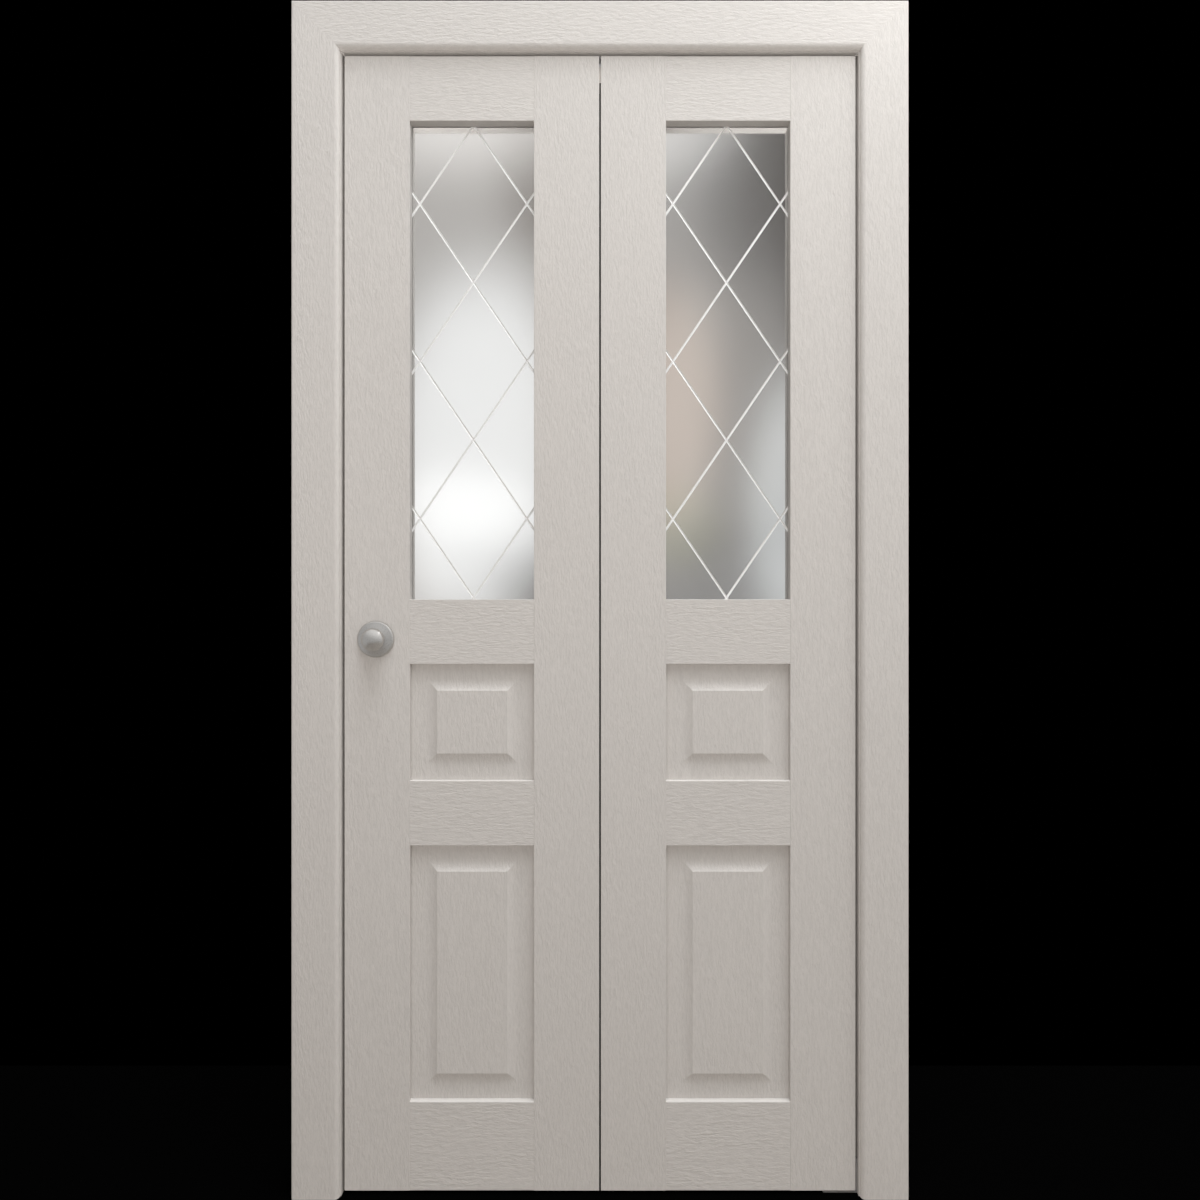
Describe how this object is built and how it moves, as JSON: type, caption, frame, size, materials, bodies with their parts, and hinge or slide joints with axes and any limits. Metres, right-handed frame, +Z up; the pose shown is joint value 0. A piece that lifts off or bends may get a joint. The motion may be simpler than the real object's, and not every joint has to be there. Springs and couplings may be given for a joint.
{
  "type": "bifold door",
  "caption": "Two-leaf bifold interior door in its frame, closed, with satin glass, raised panels, a round knob and mitred casings.",
  "frame": {"origin": "on the outer face of the right jamb, at the floor, midway through the depth of the frame", "axes": "+X to the right as seen from the front, away from the doorway at the origin; +Y through the wall, from the front to the back; +Z up"},
  "size_m": [1.08, 0.1439, 2.0965],
  "materials": {
    "frame_foil": "pale warm grey ash-grain foil on wood, matt, finely embossed",
    "leaf_foil": "pale warm grey ash-grain foil on wood, matt, finely embossed",
    "panel_foil": "pale warm grey ash-grain foil on moulded panel, matt, finely embossed",
    "satin_glass": "satin, with clear-cut V grooves",
    "knob_metal": "satin nickel",
    "track_aluminium": "mill finish",
    "hinge_steel": "satin nickel plated",
    "pivot_steel": "zinc plated",
    "nylon": "natural nylon",
    "seal_rubber": "matt dark grey"
  },
  "bodies": {
    "root": {"jamb_left": "frame_foil", "jamb_right": "frame_foil", "head_jamb": "frame_foil", "casing_front_left": "frame_foil", "casing_front_right": "frame_foil", "casing_front_head": "frame_foil", "casing_rear_left": "frame_foil", "casing_rear_right": "frame_foil", "casing_rear_head": "frame_foil", "leading_leaf_outer_stile": "leaf_foil", "leading_leaf_inner_stile": "leaf_foil", "leading_leaf_top_rail": "leaf_foil", "leading_leaf_middle_rail": "leaf_foil", "leading_leaf_lower_rail": "leaf_foil", "leading_leaf_bottom_rail": "leaf_foil", "leading_leaf_small_panel": "panel_foil", "leading_leaf_large_panel": "panel_foil", "leading_leaf_glass": "satin_glass", "hanging_leaf_outer_stile": "leaf_foil", "hanging_leaf_inner_stile": "leaf_foil", "hanging_leaf_top_rail": "leaf_foil", "hanging_leaf_middle_rail": "leaf_foil", "hanging_leaf_lower_rail": "leaf_foil", "hanging_leaf_bottom_rail": "leaf_foil", "hanging_leaf_small_panel": "panel_foil", "hanging_leaf_large_panel": "panel_foil", "hanging_leaf_glass": "satin_glass", "head_track": "track_aluminium", "knob_rosette_front": "knob_metal", "knob_front": "knob_metal", "knob_rosette_rear": "knob_metal", "knob_rear": "knob_metal", "hinge_top": "hinge_steel", "hinge_middle": "hinge_steel", "hinge_bottom": "hinge_steel", "top_pivot_pin": "pivot_steel", "bottom_pivot_pin": "pivot_steel", "bottom_pivot_bracket": "pivot_steel", "guide_pin": "pivot_steel", "top_pivot_block": "nylon", "guide_roller": "nylon", "meeting_seal": "seal_rubber"}
  },
  "joints": []
}
